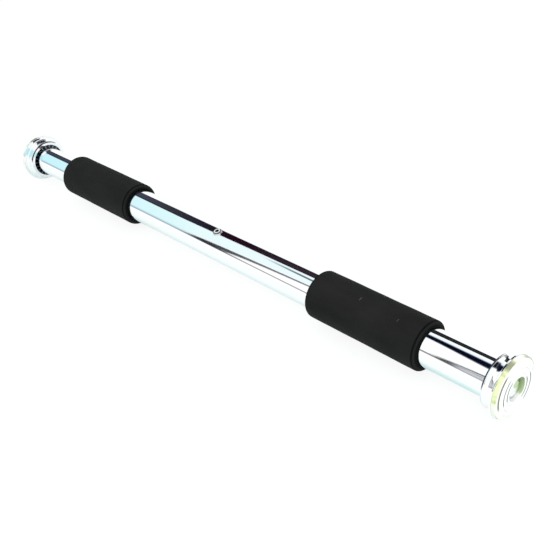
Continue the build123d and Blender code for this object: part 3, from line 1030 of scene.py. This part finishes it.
def aim(item: bpy.types.Object, place: Triple, look: Vector, roll: float = 0.0) -> None:
    """Put a camera or a lamp at a place, turned to look along a direction and rolled by some degrees."""
    item.location = place
    item.rotation_mode = "QUATERNION"
    item.rotation_quaternion = look.to_track_quat("-Z", "Y") @ Quaternion((0, 0, 1), math.radians(roll))


@dataclass(frozen=True)
class Camera:
    """The camera: where it stands in the bar's frame and how it looks at the bar.

    Attributes:
        heading: Its direction over the floor, in degrees from +X towards +Y.
        dip: How far it looks down, in degrees.
        roll: Its turn about its own axis, in degrees.
        lens: Its focal length in millimetres.
        sensor: Its sensor's width in millimetres.
        clip: Nearest and farthest distance that it sees, in metres.
    """

    place: Triple = (-0.2307, 0.3101, 0.4905)
    heading: float = -33.434
    dip: float = 41.635
    roll: float = -18.70
    lens: float = 55.286
    sensor: float = 36.0
    clip: tuple[float, float] = (0.01, 50.0)

    def build(self) -> bpy.types.Object:
        """Make the camera and give it to the scene."""
        data = bpy.data.cameras.new("camera")
        data.lens = self.lens
        data.sensor_width = self.sensor
        data.clip_start, data.clip_end = self.clip
        heading, dip = math.radians(self.heading), math.radians(self.dip)
        look = Vector((math.cos(heading) * math.cos(dip), math.sin(heading) * math.cos(dip), -math.sin(dip)))
        camera = linked("camera", data)
        aim(camera, self.place, look, self.roll)
        bpy.context.scene.camera = camera
        return camera


@dataclass(frozen=True)
class SoftLamp:
    """A wide soft lamp above the fixed end, which the chrome doesn't mirror.

    Attributes:
        target: The spot that it faces.
        size: Its two sides in metres.
        power: Its power in watts.
    """

    place: Triple = (-0.35, 0.25, 1.1)
    target: Triple = (0.25, 0.0, 0.0)
    size: tuple[float, float] = (1.4, 1.0)
    power: float = 5.0

    def build(self) -> bpy.types.Object:
        """Hang the lamp."""
        data = bpy.data.lights.new("soft_lamp", "AREA")
        data.shape = "RECTANGLE"
        data.size, data.size_y = self.size
        data.energy = self.power
        lamp = linked("soft_lamp", data)
        aim(lamp, self.place, Vector(self.target) - Vector(self.place))
        lamp.visible_glossy = False
        return lamp


@dataclass(frozen=True)
class DarkFlag:
    """A long dark flag beside the bar that the chrome mirrors as a stripe.

    Attributes:
        low: Angle of its lower edge against reach.
        high: Angle of its upper edge against reach.
        softness: Width of its edges in degrees.
        present: How much of it there is against reach, in percent.
        middle: Colour of its middle against reach.
        edge: Colour near its edges.
        edge_width: Width of the darker edges in degrees.
    """

    low: Table
    high: Table
    softness: float
    present: Table
    middle: Shades
    edge: Colour
    edge_width: float

    def over(self, graph: Graph, below: Value, angle: Value, reach: Value) -> Value:
        """Return the colours below with the flag laid over them."""
        low, high = graph.table(reach, self.low), graph.table(reach, self.high)
        mask = angle.between(low, high, self.softness) * graph.table(reach, self.present) * 0.01
        inner = angle.between(low + self.edge_width, high - self.edge_width, self.softness)
        return graph.paint(mask, below, graph.paint(inner, self.edge, graph.shades(reach, self.middle)))


@dataclass(frozen=True)
class Arch:
    """The round end of an opening: its edge rises from its foot as the root of the distance to its tip.

    Attributes:
        tip: Reach at which the edge meets the foot.
        rise: Degrees that the edge stands above its foot at a distance of 1 from the tip.
    """

    tip: float
    rise: float

    def edge(self, reach: Value, foot: float) -> Value:
        """Return the angle of the edge at a reach, or of the foot beyond the tip."""
        return (self.tip - reach).math("MAXIMUM", 0.0).math("SQRT") * self.rise + foot


@dataclass(frozen=True)
class Studio:
    """A white studio with dark flags that the chrome mirrors.

    Angles are measured round the bar from +Y over the top, and reach along it, as the parts of a
    mirrored direction.

    Attributes:
        white: How bright mirrors see it.
        skyline: Angle at which the floor ends.
        line: Colour of the stripe along the skyline.
        tent: Outer edge of the dark frame between sky and opening.
        stand_stripes: Colour of the stand from its foot to its outline.
        haze: Colour low over the skyline.
        low_side: Colour of the low side behind the fixed end.
        sky_end: Angle at which the sky fades to white.
        haze_start: Reach at which the haze starts.
        line_start: Reach at which the stripe along the skyline starts.
        frame_start: Reach at which the dark frame starts.
        stand_span: Reach at which the stand starts, its dark tip starts, and the tip ends.
        low_span: Angles at which the low side starts and ends.
        low_start: Reach below which the low side shows.
        level: How bright matt things see it at rest, and how much more from above and from behind.
    """

    white: float = 1.1
    skyline: float = 20.5
    sky: Shades = ramp(
        (-0.60, 196, 238, 244), (-0.20, 252, 254, 255), (0.38, 222, 238, 246), (0.47, 236, 249, 252),
        (0.64, 233, 248, 250), (0.70, 230, 248, 249), (0.73, 216, 246, 248), (0.78, 208, 243, 248),
        (0.83, 198, 241, 249),
    )
    line: Shades = ramp(
        (0.38, 168, 170, 174), (0.44, 150, 150, 158), (0.47, 120, 120, 122), (0.60, 160, 162, 162),
        (0.655, 164, 166, 166), (0.68, 104, 106, 110), (0.695, 30, 32, 40), (0.71, 120, 140, 146),
        (0.725, 156, 178, 190), (0.83, 156, 178, 188),
    )
    upper_flag: DarkFlag = DarkFlag(
        low=(
            (-0.85, 112), (-0.50, 108), (-0.10, 106), (0.10, 160), (0.32, 160), (0.36, 143), (0.41, 143),
            (0.46, 139), (0.60, 124.8), (0.66, 115.5), (0.69, 109.5), (0.722, 103.3), (0.80, 103.3),
            (0.823, 100.4),
        ),
        high=(
            (-0.85, 158), (-0.10, 150), (0.10, 185), (0.32, 185), (0.36, 170), (0.44, 167), (0.60, 166.5),
            (0.66, 163), (0.70, 160.5), (0.735, 160), (0.76, 154.5), (0.82, 140.5),
        ),
        softness=3.0,
        present=(
            (-0.90, 0), (-0.80, 90), (-0.15, 100), (-0.02, 0), (0.18, 0), (0.36, 100), (0.84, 100),
            (0.88, 0),
        ),
        middle=ramp(
            (0.36, 44, 47, 60), (0.47, 38, 38, 44), (0.60, 50, 38, 48), (0.635, 44, 33, 46),
            (0.66, 32, 8, 24), (0.685, 34, 8, 28), (0.695, 26, 25, 31), (0.71, 36, 34, 52),
            (0.735, 50, 51, 60), (0.76, 64, 66, 86), (0.82, 58, 64, 80),
        ),
        edge=shown(12, 12, 18),
        edge_width=7.0,
    )
    near_flag: DarkFlag = DarkFlag(
        low=((0.05, 94), (0.32, 95), (0.36, 88), (0.41, 89), (0.465, 96.5), (0.60, 99)),
        high=((0.05, 122), (0.32, 124), (0.36, 119), (0.465, 117.5), (0.60, 107)),
        softness=8.0,
        present=(
            (0.04, 0), (0.08, 100), (0.14, 100), (0.18, 72), (0.24, 72), (0.30, 90), (0.40, 90),
            (0.42, 100), (0.61, 100), (0.645, 0),
        ),
        middle=ramp((0.36, 4, 4, 32), (0.48, 3, 4, 28), (0.60, 124, 158, 168)),
        edge=shown(10, 12, 40),
        edge_width=4.0,
    )
    tent: Arch = Arch(tip=0.714, rise=136.0)
    opening: Arch = Arch(tip=0.678, rise=146.0)
    frame_shades: Shades = ramp(
        (0.58, 112, 114, 118), (0.64, 104, 106, 110), (0.66, 84, 86, 92), (0.68, 52, 55, 66),
        (0.695, 22, 24, 32), (0.706, 36, 42, 48), (0.716, 120, 138, 144),
    )
    stand: Arch = Arch(tip=0.46, rise=112.0)
    stand_stripes: Shades = ramp(
        (0.00, 150, 153, 160), (0.14, 206, 209, 213), (0.30, 172, 176, 182), (0.42, 228, 230, 233),
        (0.52, 120, 122, 130), (0.60, 210, 213, 216), (0.72, 140, 144, 152), (0.80, 226, 228, 231),
        (0.90, 74, 76, 88), (1.00, 60, 62, 74),
    )
    stand_tip: Colour = shown(30, 30, 38)
    haze: Colour = shown(150, 176, 196)
    low_side: Colour = shown(190, 236, 243)
    sky_end: float = 128.0
    haze_start: float = 0.715
    line_start: float = 0.33
    frame_start: float = 0.5
    stand_span: Triple = (0.3, 0.438, 0.457)
    low_span: tuple[float, float] = (20.0, 66.0)
    low_start: float = -0.45
    level: Triple = (0.42, 0.85, 0.75)

    def build(self) -> None:
        """Light the bar from all round, and show pure white where the camera looks past it."""
        world = bpy.data.worlds.new("studio")
        bpy.context.scene.world = world
        world.use_nodes = True
        graph = Graph(world.node_tree)
        direction = graph.node("TexCoord", {}, output="Generated")
        reach, height = graph.part("X", direction), graph.part("Z", direction)
        mirror, diffuse = graph.ray("Glossy").math("MAXIMUM", graph.ray("Transmission")), graph.ray("Diffuse")
        seen = graph.blend(mirror, WHITE, self.mirrored(graph, graph.angle(direction), reach))
        rest, over, behind = self.level
        level = rest + height.math("MAXIMUM", 0.0) * over + (-1 * reach).math("MAXIMUM", 0.0) * behind
        strength = (mirror * (self.white - 1.0) + 1.0) * (1 - diffuse) + diffuse * level
        background = graph.node("Background", {"Color": seen, "Strength": strength})
        graph.node("OutputWorld", {"Surface": background})

    def mirrored(self, graph: Graph, angle: Value, reach: Value) -> Value:
        """Return the colour that the chrome mirrors from an angle round the bar and a reach along it."""
        top = self.tent.edge(reach, self.skyline)
        above = angle.above(top + 6.0, 8.0) * (1 - angle.above(self.sky_end, 12.0))
        colour = graph.paint(above, WHITE, graph.shades(reach, self.sky))
        haze = angle.above(self.skyline - 1.0, 3.0) * (1 - angle.above(self.skyline + 7.0, 15.0))
        colour = graph.paint(haze * reach.above(self.haze_start, 0.02) * 0.6, colour, self.haze)
        line = angle.between(self.skyline - 3.0, self.skyline + 3.0, 4.0) * reach.above(self.line_start, 0.06)
        colour = graph.paint(line, colour, graph.shades(reach, self.line))
        mask = angle.between(self.opening.edge(reach, self.skyline) - 1.0, top + 1.0, 3.0)
        mask = mask * angle.above(self.skyline, 2.0)
        mask = mask * reach.between(self.frame_start, self.tent.tip + 0.002, 0.004)
        colour = graph.paint(mask, colour, graph.shades(reach, self.frame_shades))
        high = self.stand.edge(reach, self.skyline)
        rise = ((angle - self.skyline) / (high - self.skyline + 0.01)).math("MAXIMUM", 0.0)
        stripes = graph.shades(rise.math("MINIMUM", 1.0), self.stand_stripes)
        start, tip_start, tip_end = self.stand_span
        tip = reach.between(tip_start, tip_end, 0.012)
        stripes = graph.paint(tip * 0.85, stripes, self.stand_tip)
        stand = angle.between(self.skyline, high + 1.5, 2.5) * reach.between(start, tip_end + 0.002, 0.004)
        colour = graph.paint(stand, colour, stripes)
        colour = self.near_flag.over(graph, colour, angle, reach)
        colour = self.upper_flag.over(graph, colour, angle, reach)
        low_side = angle.between(*self.low_span, 16.0) * (1 - reach.above(self.low_start, 0.3))
        return graph.paint(low_side * 0.8, colour, self.low_side)


@dataclass(frozen=True)
class FloorFinish(Finish):
    """The floor's look: white to the eye and in mirrors, with the bar's soft shadow kept.

    Attributes:
        glow: How bright the white is that lies over its colour.
        cover: How much of the colour the white covers.
        mirrored: How much of that cover mirrors see.
        shade_stripe: Where a bluish stripe of painted shade, which only mirrors see, starts and ends
        across the floor, and how softly.
        shade_stripe_start: Where it starts along the bar, and how softly.
        shade_stripe_fade: Where it fades, and how softly.
        shade_stripe_loss: How much of it fades.
    """

    colour: Colour = (0.76, 0.83, 0.82)
    glow: float = 1.06
    cover: float = 0.82
    mirrored: float = 0.6
    shade_stripe: Triple = (8.0 * MM, 34.0 * MM, 24.0 * MM)
    shade_stripe_colour: Colour = (0.44, 0.80, 0.82)
    shade_stripe_start: tuple[float, float] = (0.03, 0.02)
    shade_stripe_fade: tuple[float, float] = (0.12, 0.16)
    shade_stripe_loss: float = 0.55

    def shader(self, graph: Graph) -> Value:
        """Return the finish's shader."""
        matt = graph.node("BsdfDiffuse", {"Color": (*self.colour, 1.0)})
        along, glossy = graph.part("X"), graph.ray("Glossy")
        # Painted shade: a bluish stripe beside the bar, seen only in mirrors.
        stripe = graph.part("Y").between(*self.shade_stripe) * (1 - along.above(*self.shade_stripe_fade) * self.shade_stripe_loss)
        stripe = stripe * along.above(*self.shade_stripe_start)
        tint = graph.blend(glossy * stripe, WHITE, self.shade_stripe_colour)
        glow = graph.node("Emission", {"Color": tint, "Strength": self.glow})
        seen = graph.ray("Camera").math("MAXIMUM", glossy * self.mirrored)
        seen = seen.math("MAXIMUM", graph.ray("Transmission"))
        return graph.node("MixShader", {0: seen * self.cover, 1: matt, 2: glow})


@dataclass(frozen=True)
class Floor:
    """The pale floor just under the bar, which isn't part of the object."""

    size: float = 6.0
    finish: Finish = FloorFinish("pale_floor")

    def build(self) -> bpy.types.Object:
        """Lay the floor under the middle of the bar."""
        low, high = CAD_BOX
        middle, half = (low[0] + high[0]) / 2, self.size / 2
        sides = ((-1, -1), (1, -1), (1, 1), (-1, 1))
        mesh = bpy.data.meshes.new("floor")
        mesh.from_pydata([(middle + i * half, j * half, low[2]) for i, j in sides], [], [(0, 1, 2, 3)])
        floor = linked("floor", mesh)
        floor.data.materials.append(self.finish.material())
        return floor


# --- The whole bar ---


@dataclass(frozen=True)
class PullUpBar:
    """The bar: its CAD pieces in their finishes, and the pieces made here."""

    grips: tuple[FoamGrip, ...] = (FoamGrip("fixed_end_grip"), FoamGrip("sliding_end_grip"))
    pads: tuple[JambPad, ...] = (
        JambPad("fixed_end_pad", "fixed_end", BarEnd.FIXED),
        JambPad("sliding_end_pad", "sliding_end", BarEnd.SLIDING),
    )
    cups: tuple[FlaredCup, ...] = (
        FlaredCup("fixed_end_cup", "fixed_end", BarEnd.FIXED),
        FlaredCup("sliding_end_cup", "sliding_end", BarEnd.SLIDING),
    )

    def dress_cad(self) -> None:
        """Give every CAD node its own finish, or the one of its material slot."""
        for part in frame["record"]["subparts"]:
            finish = NODE_FINISHES.get(part["node"], CAD_FINISHES[part["material_slot"]])
            node = frame["nodes"][part["node"]]
            node.data.materials.clear()
            node.data.materials.append(finish.material())
            LOG.info("%s: %s", part["node"], finish.name)

    def build(self) -> None:
        """Dress the CAD pieces and make the others."""
        self.dress_cad()
        for piece in (*self.grips, *self.pads, *self.cups):
            made = piece.build()
            LOG.info("%s: %d points", made.name, len(made.data.vertices))


def main() -> None:
    """Build the bar and its studio."""
    logging.basicConfig(level=logging.INFO, format="%(message)s")
    scene = bpy.context.scene
    scene.view_settings.view_transform = "Standard"
    PullUpBar().build()
    for item in (Studio(), Floor(), SoftLamp(), Camera()):
        item.build()


if __name__ == "__main__":
    main()
